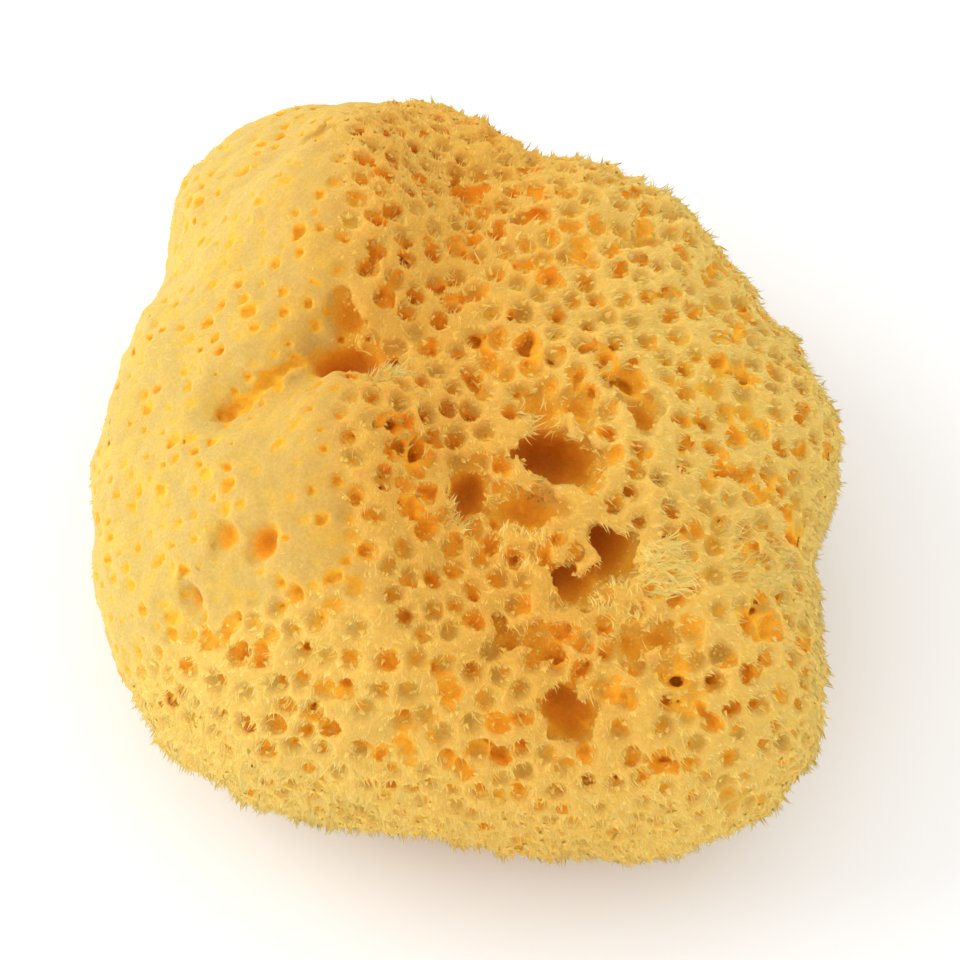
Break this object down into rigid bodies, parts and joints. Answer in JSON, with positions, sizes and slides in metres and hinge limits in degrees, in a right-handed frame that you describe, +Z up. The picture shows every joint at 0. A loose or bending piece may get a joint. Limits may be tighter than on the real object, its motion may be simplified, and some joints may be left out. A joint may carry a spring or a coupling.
{
  "type": "sea sponge",
  "caption": "Natural bath sponge: a rounded, lopsided dome of honeycomb fibre with canal mouths, tufted all over, trimmed smooth on one flank and cut off flat underneath.",
  "frame": {"origin": "under the middle of the sponge, on its flat cut base", "axes": "+Z up from the cut base, +X towards the sponge's tufted side and away from its trimmed flank, +Y towards the knob and the valley beside it"},
  "size_m": [0.1496, 0.1661, 0.0847],
  "materials": {
    "sponge_fibre": "matt, fibrous and slightly translucent"
  },
  "bodies": {
    "root": {"sponge": "sponge_fibre"}
  },
  "joints": []
}
